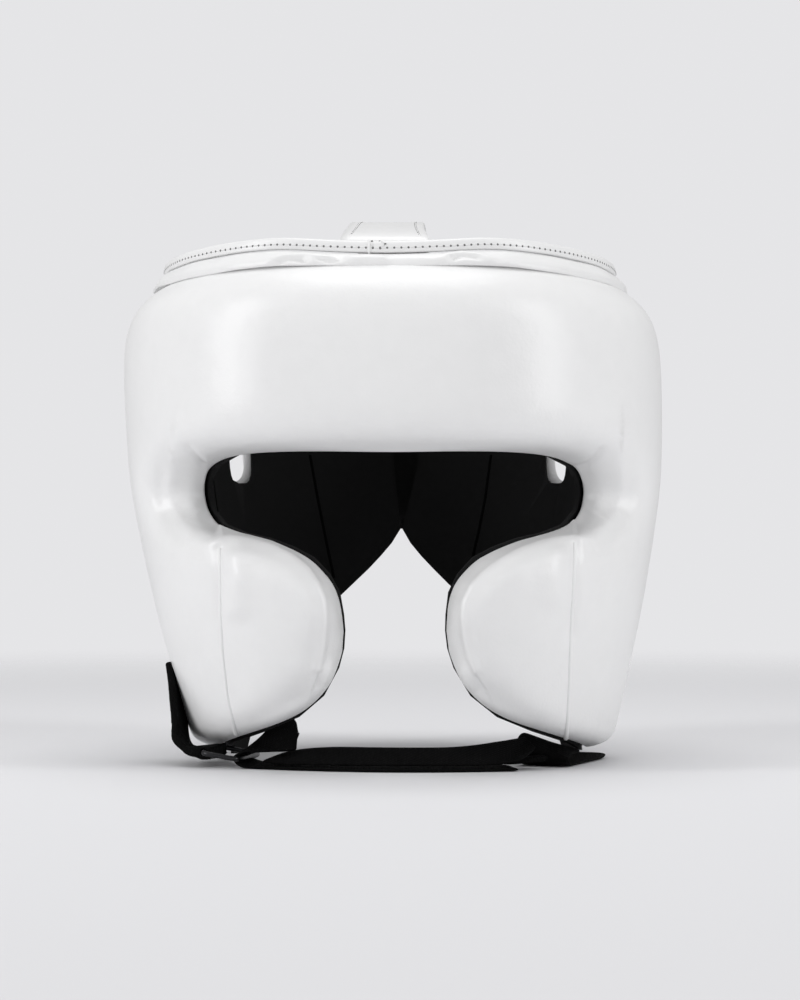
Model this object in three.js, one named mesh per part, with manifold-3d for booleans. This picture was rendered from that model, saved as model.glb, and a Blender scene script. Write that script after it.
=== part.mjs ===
import * as THREE from 'three';
import Module from 'manifold-3d';

// Boxing head guard with cheek pads, standing on its chin strap.
// Millimetres, +Z up, the face towards -Y, the wearer's left on +X;
// left and right in the names are as seen from the front.

// Clearances and sheet thicknesses
const LEATHER_EDGE = 1.0;
const LINING_GAP = 1.0;
const LINING_THICK = 2.2;
const WEBBING_THICK = 1.8;
const WEBBING_WIDTH = 25;

// The whole guard leans a little to one side: sideways shift per millimetre of height
const LEAN = 0.026;
const LEAN_HEIGHT = 117;

// Plan of the head hollow: exponent of the rounded oval
const OVAL_POWER = 2.3;

// The hollow by height: half width, depth to the front and to the back, and the padding outside it
const HOLLOW = [
  { z: -10, side: 80.0, front: 76, back: 86, pad: 9.5 },
  { z: 9, side: 80.3, front: 79, back: 87, pad: 12.7 },
  { z: 37, side: 81.0, front: 85, back: 89, pad: 18.0 },
  { z: 62, side: 81.6, front: 88, back: 91, pad: 23.5 },
  { z: 87, side: 83.0, front: 91, back: 95, pad: 27.0 },
  { z: 122, side: 87.5, front: 96, back: 100, pad: 28.0 },
  { z: 174, side: 89.5, front: 98, back: 103, pad: 28.0 },
  { z: 205, side: 89.5, front: 94, back: 100, pad: 28.0 },
  { z: 245, side: 86.0, front: 88, back: 94, pad: 28.0 },
];

// Height of the padding's top edge by angle round the head, 0 at the front
const TOP_EDGE = [
  { angle: 0, z: 212.8 },
  { angle: 27, z: 212.2 },
  { angle: 52, z: 209.6 },
  { angle: 77, z: 206.6 },
  { angle: 103, z: 205.0 },
  { angle: 140, z: 206.0 },
  { angle: 180, z: 207.5 },
];

// Front pad, one row per section from mid forehead round the eye corner to the cheek's tip:
// the rolled rim of the face opening, the seam or free edge across from it, how far each rounds over,
// and the share of the padding that is left at the rim
const FRONT_ROWS = [
  { rimX: 0, rimZ: 132.3, seamAngle: 0, seamZ: 212.8, rimRound: 17, seamRound: 24, rimEdge: 0.1 },
  { rimX: 34, rimZ: 133.0, seamAngle: 27, seamZ: 212.2, rimRound: 17, seamRound: 24, rimEdge: 0.1 },
  { rimX: 58, rimZ: 132.2, seamAngle: 52, seamZ: 209.6, rimRound: 17, seamRound: 24, rimEdge: 0.14 },
  { rimX: 70, rimZ: 129.6, seamAngle: 77, seamZ: 206.6, rimRound: 18, seamRound: 24, rimEdge: 0.24 },
  { rimX: 76.5, rimZ: 125.6, seamAngle: 103, seamZ: 205.0, rimRound: 19, seamRound: 24, rimEdge: 0.36 },
  { rimX: 78.8, rimZ: 122.0, seamAngle: 103, seamZ: 153.0, rimRound: 20, seamRound: 8, rimEdge: 0.44 },
  { rimX: 79.7, rimZ: 119.0, seamAngle: 103, seamZ: 142.0, rimRound: 20, seamRound: 8, rimEdge: 0.46 },
  { rimX: 80.0, rimZ: 116.0, seamAngle: 103, seamZ: 130.0, rimRound: 20, seamRound: 8, rimEdge: 0.46 },
  { rimX: 79.5, rimZ: 112.0, seamAngle: 103, seamZ: 118.0, rimRound: 20, seamRound: 8, rimEdge: 0.46 },
  { rimX: 78.0, rimZ: 107.5, seamAngle: 103, seamZ: 108.0, rimRound: 19, seamRound: 8, rimEdge: 0.44 },
  { rimX: 73.4, rimZ: 102.4, seamAngle: 103, seamZ: 80.0, rimRound: 17, seamRound: 8, rimEdge: 0.38 },
  { rimX: 66.0, rimZ: 99.2, seamAngle: 103, seamZ: 48.0, rimRound: 15, seamRound: 8, rimEdge: 0.3 },
  { rimX: 57.5, rimZ: 97.4, seamAngle: 102, seamZ: 7.0, rimRound: 14, seamRound: 2.5, rimEdge: 0.22 },
  { rimX: 49.5, rimZ: 95.3, seamAngle: 84, seamZ: 6.0, rimRound: 13, seamRound: 2.5, rimEdge: 0.16 },
  { rimX: 41.0, rimZ: 91.9, seamAngle: 60, seamZ: 11.5, rimRound: 13, seamRound: 2.5, rimEdge: 0.14 },
  { rimX: 34.0, rimZ: 88.3, seamAngle: 43, seamZ: 16.6, rimRound: 13, seamRound: 4, rimEdge: 0.13 },
  { rimX: 28.5, rimZ: 82.8, seamAngle: 31, seamZ: 21.6, rimRound: 13, seamRound: 7, rimEdge: 0.12 },
  { rimX: 24.5, rimZ: 77.5, seamAngle: 23, seamZ: 27.5, rimRound: 13, seamRound: 11, rimEdge: 0.12 },
  { rimX: 22.3, rimZ: 70.0, seamAngle: 17, seamZ: 36.0, rimRound: 13, seamRound: 12, rimEdge: 0.12 },
  { rimX: 21.6, rimZ: 63.0, seamAngle: 14, seamZ: 45.5, rimRound: 13, seamRound: 12, rimEdge: 0.12 },
  { rimX: 21.3, rimZ: 58.0, seamAngle: 12.8, seamZ: 51.5, rimRound: 13, seamRound: 12, rimEdge: 0.12 },
];
const FRONT_STEP = 0.625;
const SEAM_ANGLE = 103;
const SEAM_GAP = 0.5;
const FRONT_ACROSS = 10;
const LINING_SHOWS = 1.1;
const CHEEK_TOP = 112;
const CHEEK_BOTTOM = 30;
const LINING_FADE = 12;

// Fullness of a rounded edge: 2 is a plain quarter round, more is squarer
const RIM_POWER = 2.6;
const SEAM_POWER = 2;

// Creases in the front pad, as lines in the front view
const CREASES = [
  { fromX: 78, fromZ: 127, toX: 93, toZ: 139, depth: 2.0, spread: 4 },
  { fromX: 72, fromZ: 92, toX: 73, toZ: 14, depth: 1.6, spread: 5 },
];

// Rear panels, one row per level: the angles where the left and the right one end at the back;
// both start at the side seam, meet at one point and leave a narrow wedge open above it
const BACK_ROWS = [
  { z: 0, leftEnd: 114, rightEnd: 114 },
  { z: 12, leftEnd: 120, rightEnd: 120 },
  { z: 26, leftEnd: 128.5, rightEnd: 128.5 },
  { z: 42, leftEnd: 139, rightEnd: 139 },
  { z: 56, leftEnd: 151, rightEnd: 151.5 },
  { z: 66, leftEnd: 159.5, rightEnd: 160.5 },
  { z: 74, leftEnd: 166, rightEnd: 167.3 },
  { z: 81, leftEnd: 171.2, rightEnd: 172 },
  { z: 87, leftEnd: 174.9, rightEnd: 175.5 },
  { z: 93, leftEnd: 177.9, rightEnd: 178.2 },
  { z: 99.5, leftEnd: 179.85, rightEnd: 179.85 },
  { z: 113, leftEnd: 178.7, rightEnd: 177.3 },
  { z: 130, leftEnd: 178.8, rightEnd: 176 },
  { z: 150, leftEnd: 178.9, rightEnd: 175 },
  { z: 175, leftEnd: 178.9, rightEnd: 175 },
  { z: 193, leftEnd: 178.9, rightEnd: 175 },
  { z: 205, leftEnd: 178.9, rightEnd: 175 },
];
const MEETING_HEIGHT = 100;
const BACK_ACROSS = 12;
const BACK_ROUND = 13;
const UPPER_FROM = 153;
const THIN_BACK = 0.55;
const THIN_FROM = 93;
const THIN_TO = 138;

// Slot for the ear, through the padding and the lining of a rear panel
const EAR = { angle: 126, heading: 165, z: 136, width: 13, height: 31, corner: 4, reach: 45, steps: 20 };

// Closing flap over the two rear panels
const FLAP = { halfAngle: 21, low: 99.5, high: 186, gap: 0.7, thick: 3, across: 10, up: 4 };

// Gathered strip and hem round the crown: sections as outward offset and height above the top edge,
// with the share of the hem's lift and of the gathers that each point takes
const GUSSET_SECTION = [
  { out: 14.6, up: -2.9, lift: 0, loose: 0.1 },
  { out: 12.6, up: -0.3, lift: 0.5, loose: 1 },
  { out: 9.6, up: 1.9, lift: 1, loose: 0.6 },
  { out: 8.2, up: 1.9, lift: 1, loose: 0.6 },
  { out: 10.9, up: -0.2, lift: 0.5, loose: 1 },
  { out: 13.2, up: -2.3, lift: 0, loose: 0.1 },
];
const GUSSET_STEPS = 84;
const GATHER = { count: 31, depth: 0.7, sway: 5, swayCount: 3 };
const HEM_SECTION = [
  { out: 9.6, up: 2.9, lift: 1, loose: 0 },
  { out: 9.7, up: 6.4, lift: 1, loose: 0 },
  { out: 8.9, up: 7.4, lift: 1, loose: 0 },
  { out: 6.6, up: 7.5, lift: 1, loose: 0 },
  { out: 5.6, up: 6.6, lift: 1, loose: 0 },
  { out: 5.5, up: 2.8, lift: 1, loose: 0 },
  { out: 6.4, up: 2.2, lift: 1, loose: 0 },
  { out: 8.9, up: 2.2, lift: 1, loose: 0 },
];
const HEM_STEPS = 72;
const HEM_LIFT = [
  { angle: 0, z: -1.2 },
  { angle: 11, z: -0.3 },
  { angle: 24, z: 1.4 },
  { angle: 52, z: 1.5 },
  { angle: 90, z: 1.3 },
  { angle: 140, z: 0.8 },
  { angle: 180, z: 0 },
];

// Crown strap, one row per section from the front hem to the back hem
const CROWN_ROWS = [
  { y: -94.2, z: 215.4, half: 19.2 },
  { y: -93.2, z: 218.8, half: 18.9 },
  { y: -86.0, z: 221.8, half: 17.7 },
  { y: -66.0, z: 225.8, half: 16.4 },
  { y: -34.0, z: 229.9, half: 16.0 },
  { y: 0.0, z: 232.4, half: 15.9 },
  { y: 34.0, z: 231.2, half: 16.0 },
  { y: 68.0, z: 225.8, half: 16.6 },
  { y: 91.0, z: 219.0, half: 17.8 },
  { y: 97.6, z: 214.6, half: 19.0 },
  { y: 98.8, z: 210.8, half: 19.2 },
];
const CROWN_THICK = 4;

// Metal ring that joins the two straps, lying askew under the left cheek
const RING = { length: 37, width: 20, wire: 2.6, corner: 6, steps: 32, sides: 6 };
const RING_CENTRE = new THREE.Vector3(-72, -49, 5.5);
const RING_HEADING = -12;
const RING_TIP = 9;

// Routes of the straps, row by row: middle of the webbing, the way it heads in plan, the turn about
// that heading and, where the webbing narrows to a rounded end, its half width
const RING_STRAP_ROWS = [
  { x: -99.8, y: -12.0, z: 34.5, heading: -8, turn: -36 },
  { x: -98.1, y: -20.0, z: 27.0, heading: -9, turn: -36 },
  { x: -96.5, y: -27.0, z: 19.5, heading: -12, turn: -34 },
  { x: -94.3, y: -33.0, z: 12.6, heading: -17, turn: -30 },
  { x: -90.8, y: -38.5, z: 7.6, heading: -26, turn: -22 },
  { x: -85.2, y: -43.2, z: 6.2, heading: -24, turn: -10 },
  { x: -80.3, y: -47.2, z: 6.8, heading: -14, turn: 0 },
  { x: -77.2, y: -47.9, z: 6.3, heading: -12, turn: 0 },
];
const RING_STRAP_THICK = 3.2;
const RING_SLEEVE_THICK = 5.4;
const RING_HOLE = 3.4;
const CHIN_STRAP_ROWS = [
  { x: 47.5, y: -64.0, z: 0.9, heading: 8, turn: 0, half: 12.5 },
  { x: 18.0, y: -70.0, z: 0.9, heading: 4, turn: 0, half: 12.5 },
  { x: -10.0, y: -70.0, z: 0.9, heading: -8, turn: 0, half: 12.5 },
  { x: -34.0, y: -64.0, z: 0.9, heading: -26, turn: 0, half: 12.5 },
  { x: -52.0, y: -56.2, z: 0.9, heading: -26, turn: 0, half: 12.5 },
  { x: -62.0, y: -51.6, z: 1.0, heading: -20, turn: 0, half: 12.5 },
  { x: -67.2, y: -49.8, z: 4.2, heading: -12, turn: 0, half: 12.5 },
  { x: -62.6, y: -50.8, z: 8.8, heading: -12, turn: 8, half: 12.5 },
  { x: -57.0, y: -52.4, z: 11.6, heading: -14, turn: 24, half: 12.5 },
  { x: -52.2, y: -53.4, z: 13.6, heading: -10, turn: 33, half: 12.5 },
  { x: -48.0, y: -53.8, z: 14.8, heading: -4, turn: 37, half: 12.4 },
  { x: -44.6, y: -53.8, z: 15.4, heading: 0, turn: 38, half: 11.8 },
  { x: -42.8, y: -53.8, z: 15.6, heading: 0, turn: 38, half: 9.0 },
];
const PILE_ROWS = [
  { x: -53.0, y: -55.6, z: 4.4, heading: -26, turn: 6, half: 11.0 },
  { x: -44.0, y: -59.8, z: 5.2, heading: -24, turn: 12, half: 11.8 },
  { x: -30.0, y: -65.2, z: 5.9, heading: -18, turn: 14, half: 12.0 },
  { x: -10.0, y: -69.8, z: 6.0, heading: -8, turn: 14, half: 12.0 },
  { x: 18.0, y: -69.8, z: 6.0, heading: 4, turn: 14, half: 12.0 },
  { x: 32.0, y: -68.0, z: 6.4, heading: 8, turn: 16, half: 12.0 },
  { x: 44.0, y: -65.4, z: 7.6, heading: 12, turn: 19, half: 11.6 },
  { x: 50.0, y: -63.8, z: 9.2, heading: 14, turn: 22, half: 9.0 },
  { x: 55.0, y: -62.4, z: 11.4, heading: 16, turn: 26, half: 5.0 },
];
const ANCHOR_ROWS = [
  { x: 79.0, y: 6.0, z: 1.6, heading: -106, turn: 0, half: 11.0 },
  { x: 76.6, y: -4.0, z: 0.9, heading: -106, turn: 0, half: 12.5 },
  { x: 71.0, y: -20.0, z: 0.9, heading: -110, turn: 0, half: 12.5 },
  { x: 65.4, y: -36.0, z: 0.9, heading: -110, turn: 0, half: 12.5 },
  { x: 62.0, y: -46.0, z: 1.2, heading: -110, turn: -2, half: 12.5 },
  { x: 60.0, y: -51.6, z: 5.0, heading: -110, turn: -12, half: 12.5 },
  { x: 62.2, y: -46.0, z: 9.0, heading: -110, turn: -20, half: 12.5 },
  { x: 65.0, y: -38.0, z: 8.6, heading: -110, turn: -18, half: 12.0 },
  { x: 67.6, y: -30.0, z: 7.4, heading: -110, turn: -10, half: 11.0 },
];
const LINK_ROWS = [
  { x: 42.0, y: -65.0, z: 3.4, heading: 16, turn: 0, half: 4.4 },
  { x: 52.0, y: -62.4, z: 3.8, heading: 16, turn: 0, half: 4.4 },
  { x: 61.0, y: -59.6, z: 4.8, heading: 16, turn: 0, half: 4.4 },
];
const LINK_THICK = 2.6;
const STEPS_PER_ROW = 3;
const FLOOR = new THREE.Vector3(-Infinity, -Infinity, 0);

// Materials
const WHITE_LEATHER = { color: 0xf0f0f0, roughness: 0.45, metalness: 0 };
const BLACK_LINING = { color: 0x141416, roughness: 0.95, metalness: 0 };
const BLACK_WEBBING = { color: 0x17171a, roughness: 0.85, metalness: 0 };
const DARK_METAL = { color: 0x4a4c50, roughness: 0.35, metalness: 1 };

const radians = THREE.MathUtils.degToRad;
const wasm = await Module();
wasm.setup();

// Value of every column of a table at a fractional row, on a smooth curve through the rows
function rowAt(table, position) {
  const last = table.length - 1;
  const index = Math.min(Math.max(Math.floor(position), 0), last - 1);
  const part = position - index;
  const row = (step) => table[Math.min(Math.max(index + step, 0), last)];
  const result = {};
  for (const column of Object.keys(table[0])) {
    const before = row(-1)[column];
    const from = row(0)[column];
    const to = row(1)[column];
    const after = row(2)[column];
    const bend = 2 * before - 5 * from + 4 * to - after;
    const twist = 3 * (from - to) + after - before;
    result[column] = from + 0.5 * part * (to - before + part * (bend + part * twist));
  }
  return result;
}

// Value of a table at a given key, such as a height or an angle
function lookUp(table, key, value) {
  const last = table.length - 1;
  let index = 0;
  while (index < last - 1 && value > table[index + 1][key]) {
    index += 1;
  }
  const span = table[index + 1][key] - table[index][key];
  const part = Math.min(Math.max((value - table[index][key]) / span, 0), 1);
  return rowAt(table, index + part);
}

// Angle from the front, 0 to 180 whichever way round
const turnFromFront = (angle) => Math.abs(((angle + 540) % 360) - 180);
const topEdge = (angle) => lookUp(TOP_EDGE, 'angle', turnFromFront(angle)).z;

// Point on the head hollow at an angle and height, moved outwards by an offset
function hollowPoint(angle, z, out) {
  const form = lookUp(HOLLOW, 'z', z);
  const sine = Math.sin(radians(angle));
  const cosine = Math.cos(radians(angle));
  const depth = cosine > 0 ? form.front : form.back;
  const across = Math.sign(sine) * Math.abs(sine) ** (2 / OVAL_POWER);
  const along = -Math.sign(cosine) * Math.abs(cosine) ** (2 / OVAL_POWER);
  const normal = new THREE.Vector3(
    Math.sign(across) * Math.abs(across) ** (OVAL_POWER - 1) / form.side,
    Math.sign(along) * Math.abs(along) ** (OVAL_POWER - 1) / depth,
    0,
  ).normalize();
  return new THREE.Vector3(across * form.side, along * depth, z).addScaledVector(normal, out);
}

// Angle round the front of the hollow at which it is a given distance from the middle
function angleAtX(x, z) {
  const share = Math.min(Math.abs(x) / lookUp(HOLLOW, 'z', z).side, 1);
  return Math.sign(x) * THREE.MathUtils.radToDeg(Math.asin(share ** (OVAL_POWER / 2)));
}

// Rounded edge: the share left at the edge, 1 from the given distance inwards
function edgeRound(distance, { round, power, left }) {
  const rest = Math.max(1 - distance / round, 0);
  return left + (1 - left) * (1 - rest ** power) ** (1 / power);
}

// Share of the full padding left at a point by the rounding along a line of edge points
function roundShare(point, line) {
  let share = 1;
  const segment = new THREE.Line3();
  const nearest = new THREE.Vector3();
  for (let index = 0; index + 1 < line.length; index += 1) {
    segment.set(line[index].point, line[index + 1].point);
    segment.closestPointToPoint(point, true, nearest);
    share = Math.min(share, edgeRound(nearest.distanceTo(point), line[index]));
  }
  return share;
}

// Depth of the creases at a point of the outer leather
function creaseDepth(point) {
  const flat = new THREE.Vector3(Math.abs(point.x), 0, point.z);
  const nearest = new THREE.Vector3();
  let depth = 0;
  for (const crease of CREASES) {
    const from = new THREE.Vector3(crease.fromX, 0, crease.fromZ);
    const to = new THREE.Vector3(crease.toX, 0, crease.toZ);
    new THREE.Line3(from, to).closestPointToPoint(flat, true, nearest);
    const distance = nearest.distanceTo(flat) / crease.spread;
    depth += point.y < 0 ? crease.depth * Math.exp(-distance * distance) : 0;
  }
  return depth;
}

// Closed solid through rings of points; the ends are closed by strips across the ring, or the rings meet
function loft(rings, joined) {
  const size = rings[0].length;
  const positions = rings.flat().flatMap((point) => [point.x, point.y, point.z]);
  const indices = [];
  const quad = (a, b, c, d) => indices.push(a, b, c, a, c, d);
  const spans = joined ? rings.length : rings.length - 1;
  for (let row = 0; row < spans; row += 1) {
    const here = row * size;
    const next = ((row + 1) % rings.length) * size;
    for (let side = 0; side < size; side += 1) {
      const beside = (side + 1) % size;
      quad(here + side, here + beside, next + beside, next + side);
    }
  }
  if (!joined) {
    const end = (rings.length - 1) * size;
    for (let side = 0; side < size / 2 - 1; side += 1) {
      const across = size - 1 - side;
      quad(side, across, across - 1, side + 1);
      quad(end + side, end + side + 1, end + across - 1, end + across);
    }
  }
  const geometry = new THREE.BufferGeometry();
  geometry.setAttribute('position', new THREE.Float32BufferAttribute(positions, 3));
  geometry.setIndex(volumeOf(positions, indices) < 0 ? indices.reverse() : indices);
  return geometry;
}

// Signed volume inside a set of triangles
function volumeOf(positions, indices) {
  const corner = (index) => new THREE.Vector3().fromArray(positions, indices[index] * 3);
  let volume = 0;
  for (let index = 0; index < indices.length; index += 3) {
    volume += corner(index).dot(corner(index + 1).cross(corner(index + 2))) / 6;
  }
  return volume;
}

// Shares across a panel, closer together near both edges
function sharesAcross(count) {
  return Array.from({ length: count + 1 }, (_, index) => (1 - Math.cos(Math.PI * index / count)) / 2);
}

// Ring of a panel section: outer side one way, inner side back
function panelRing(stations, outerAt, innerAt) {
  return [...stations.map(outerAt), ...stations.map(innerAt).reverse()];
}

// Sections of the front pad from the left cheek's tip over the brow to the right cheek's tip
function frontSections() {
  const half = [];
  for (let position = 0; position <= FRONT_ROWS.length - 1; position += FRONT_STEP) {
    const row = rowAt(FRONT_ROWS, position);
    const seamAngle = Math.min(row.seamAngle, SEAM_ANGLE);
    half.push({
      ...row,
      rimAngle: angleAtX(row.rimX, row.rimZ),
      seamAngle,
      seamZ: Math.min(row.seamZ, topEdge(seamAngle)),
    });
  }
  const mirrored = half.slice(1).reverse().map((row) => ({
    ...row,
    rimAngle: -row.rimAngle,
    seamAngle: -row.seamAngle,
  }));
  return [...mirrored, ...half];
}

// Angle and height at a share of the way across a front section
function frontStation(row, share) {
  return {
    angle: THREE.MathUtils.lerp(row.rimAngle, row.seamAngle, share),
    z: THREE.MathUtils.lerp(row.rimZ, row.seamZ, share),
  };
}

function frontPad() {
  const sections = frontSections();
  const shares = sharesAcross(FRONT_ACROSS);
  const basePoint = ({ angle, z }) => hollowPoint(angle, z, 0);
  const edgePoint = (row, share, look) => ({ point: basePoint(frontStation(row, share)), ...look });
  const rimLook = (row) => ({ round: row.rimRound, power: RIM_POWER, left: row.rimEdge });
  const seamLook = (row) => ({ round: row.seamRound, power: SEAM_POWER, left: 0 });
  const rimLine = sections.map((row) => edgePoint(row, 0, rimLook(row)));
  const seamLine = sections.map((row) => edgePoint(row, 1, seamLook(row)));
  const tips = [sections[0], sections.at(-1)];
  const tipLines = tips.map((row) => shares.map((share) => edgePoint(row, share, rimLook(row))));
  const edges = [rimLine, seamLine, ...tipLines];
  const rings = sections.map((row) => {
    const outerAt = (share) => {
      const { angle, z } = frontStation(row, share);
      const base = hollowPoint(angle, z, 0);
      const left = edges.reduce((product, line) => product * roundShare(base, line), 1);
      const full = lookUp(HOLLOW, 'z', z).pad * padShare(angle);
      const depth = creaseDepth(hollowPoint(angle, z, full)) * left;
      return hollowPoint(angle, z, LEATHER_EDGE + (full - LEATHER_EDGE) * left - depth);
    };
    const innerAt = (share) => {
      const { angle, z } = frontStation(row, share);
      return hollowPoint(angle, z, 0);
    };
    return panelRing(shares, outerAt, innerAt);
  });
  return loft(rings, false);
}

// Lining behind the front pad, a little wider than the pad along the cheeks
function frontLining() {
  const sections = frontSections().filter((_, index) => index % 2 === 0);
  const shares = sharesAcross(FRONT_ACROSS / 2);
  const rings = sections.map((row) => {
    const length = hollowPoint(row.rimAngle, row.rimZ, 0).distanceTo(hollowPoint(row.seamAngle, row.seamZ, 0));
    const cheek = THREE.MathUtils.smoothstep(CHEEK_TOP - row.rimZ, 0, LINING_FADE);
    const rimShare = LINING_SHOWS * (2 * cheek - 1) / length;
    const bottom = THREE.MathUtils.smoothstep(CHEEK_BOTTOM - row.seamZ, 0, LINING_FADE);
    const seamShare = bottom * LINING_SHOWS / length;
    const spread = shares.map((share) => share * (1 + rimShare + seamShare) - rimShare);
    const at = (out) => (share) => {
      const { angle, z } = frontStation(row, share);
      return hollowPoint(angle, z, out);
    };
    return panelRing(spread, at(-LINING_GAP), at(-LINING_GAP - LINING_THICK));
  });
  return loft(rings, false);
}

// Sections of a rear panel from its lower tip to the top edge, on the side given by the sign
function backSections(side) {
  return BACK_ROWS.map(({ z, leftEnd, rightEnd }) => ({
    z,
    seamAngle: side * (SEAM_ANGLE + SEAM_GAP),
    endAngle: side * (side < 0 ? leftEnd : rightEnd),
  }));
}

function backStation(row, share) {
  const angle = THREE.MathUtils.lerp(row.seamAngle, row.endAngle, share);
  const upper = THREE.MathUtils.smoothstep(row.z, UPPER_FROM, BACK_ROWS.at(-1).z);
  return { angle, z: row.z + upper * (topEdge(angle) - BACK_ROWS.at(-1).z) };
}

// Padding left at an angle round the head, as a share of the front's
function padShare(angle) {
  const thinned = THREE.MathUtils.smoothstep(turnFromFront(angle), THIN_FROM, THIN_TO);
  return THREE.MathUtils.lerp(1, THIN_BACK, thinned);
}

function backPad(side) {
  const sections = backSections(side);
  const shares = sharesAcross(BACK_ACROSS);
  const base = (row, share) => {
    const { angle, z } = backStation(row, share);
    return hollowPoint(angle, z, 0);
  };
  const edgePoint = (row, share) => ({ point: base(row, share), round: BACK_ROUND, power: SEAM_POWER, left: 0 });
  const edgeAlong = (share) => sections.map((row) => edgePoint(row, share));
  const edgeAcross = (row) => shares.map((share) => edgePoint(row, share));
  const edges = [edgeAlong(0), edgeAlong(1), edgeAcross(sections[0]), edgeAcross(sections.at(-1))];
  const rings = sections.map((row) => {
    const outerAt = (share) => {
      const { angle, z } = backStation(row, share);
      const left = edges.reduce((product, line) => product * roundShare(base(row, share), line), 1);
      const full = lookUp(HOLLOW, 'z', z).pad * padShare(angle);
      return hollowPoint(angle, z, LEATHER_EDGE + (full - LEATHER_EDGE) * left);
    };
    return panelRing(shares, outerAt, (share) => base(row, share));
  });
  return withoutSlot(loft(rings, false), side);
}

// Lining of a rear panel, with fewer sections above the point where the two panels meet
function backLining(side) {
  const sections = backSections(side).filter(({ z }, index) => z < MEETING_HEIGHT || index % 2 === 0);
  const shares = sharesAcross(BACK_ACROSS / 2);
  const rings = sections.map((row) => {
    const at = (out) => (share) => {
      const { angle, z } = backStation(row, share);
      return hollowPoint(angle, z, out);
    };
    return panelRing(shares, at(-LINING_GAP), at(-LINING_GAP - LINING_THICK));
  });
  return withoutSlot(loft(rings, false), side);
}

// Sine or cosine drawn out so that a circle becomes a rectangle with rounded corners
function squared(value, corner) {
  return Math.sign(value) * Math.abs(value) ** (2 / corner);
}

// Rear panel less the slot for the ear, which goes straight through it
function withoutSlot(panel, side) {
  const middle = hollowPoint(side * EAR.angle, EAR.z, 0);
  const heading = radians(side * EAR.heading);
  const outward = new THREE.Vector3(Math.sin(heading), -Math.cos(heading), 0);
  const along = new THREE.Vector3(-outward.y, outward.x, 0);
  const rings = [-EAR.reach, EAR.reach].map((out) => {
    const ring = [];
    for (let step = 0; step < EAR.steps; step += 1) {
      const turn = 2 * Math.PI * step / EAR.steps;
      const point = middle.clone()
        .addScaledVector(outward, out)
        .addScaledVector(along, squared(Math.cos(turn), EAR.corner) * EAR.width / 2);
      point.z += squared(Math.sin(turn), EAR.corner) * EAR.height / 2;
      ring.push(point);
    }
    return ring;
  });
  return geometryOf(solidOf(panel).subtract(solidOf(loft(rings, false))));
}

// Flap across the two rear panels, just outside their leather
function closureFlap() {
  const rings = sharesAcross(FLAP.across).map((turn) => {
    const angle = 180 + FLAP.halfAngle * (2 * turn - 1);
    const at = (offset) => (share) => {
      const z = THREE.MathUtils.lerp(FLAP.low, FLAP.high, share);
      const full = lookUp(HOLLOW, 'z', z).pad * padShare(angle);
      return hollowPoint(angle, z, full + FLAP.gap + offset);
    };
    return panelRing(sharesAcross(FLAP.up), at(FLAP.thick), at(0));
  });
  return loft(rings, false);
}

// Band round the crown from a section table
function crownBand(section, steps) {
  const rings = [];
  for (let step = 0; step < steps; step += 1) {
    const angle = 360 * step / steps;
    const share = padShare(angle);
    const sway = GATHER.sway * Math.sin(radians(angle * GATHER.swayCount));
    const pleat = GATHER.depth * Math.sin(radians(angle * GATHER.count) + sway);
    const hemLift = lookUp(HEM_LIFT, 'angle', turnFromFront(angle)).z;
    rings.push(section.map(({ out, up, lift, loose }) => {
      const height = (up < 0 ? up * share : up) + lift * hemLift;
      return hollowPoint(angle, topEdge(angle) + height, out * share + loose * pleat);
    }));
  }
  return loft(rings, true);
}

// Flat band through rows of middle points, with a rounded section and a thickness that may vary
function ribbon(rows, thickAt, stepsPerRow) {
  const rings = [];
  const ahead = 0.02;
  const steps = (rows.length - 1) * stepsPerRow;
  for (let step = 0; step <= steps; step += 1) {
    const position = step / stepsPerRow;
    const row = rowAt(rows, position);
    const before = rowAt(rows, Math.max(position - ahead, 0));
    const after = rowAt(rows, Math.min(position + ahead, rows.length - 1));
    const along = new THREE.Vector3(after.x - before.x, after.y - before.y, after.z - before.z).normalize();
    const heading = new THREE.Vector3(Math.cos(radians(row.heading)), Math.sin(radians(row.heading)), 0);
    const level = new THREE.Vector3(-heading.y, heading.x, 0).applyAxisAngle(heading, radians(row.turn));
    const across = level.projectOnPlane(along).normalize();
    const up = new THREE.Vector3().crossVectors(along, across);
    const middle = new THREE.Vector3(row.x, row.y, row.z);
    const half = row.half ?? WEBBING_WIDTH / 2;
    const corner = (wide, high) => middle.clone()
      .addScaledVector(across, wide * half)
      .addScaledVector(up, high * thickAt(position) / 2)
      .max(FLOOR);
    rings.push([
      corner(0.96, 1), corner(0, 1), corner(-0.96, 1), corner(-1, 0.4),
      corner(-1, -0.4), corner(-0.96, -1), corner(0, -1), corner(0.96, -1),
    ]);
  }
  return loft(rings, false);
}

function crownStrap() {
  const rows = CROWN_ROWS.map((row) => ({ x: 0, heading: 90, turn: 0, ...row }));
  return ribbon(rows, () => CROWN_THICK, 2);
}

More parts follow.
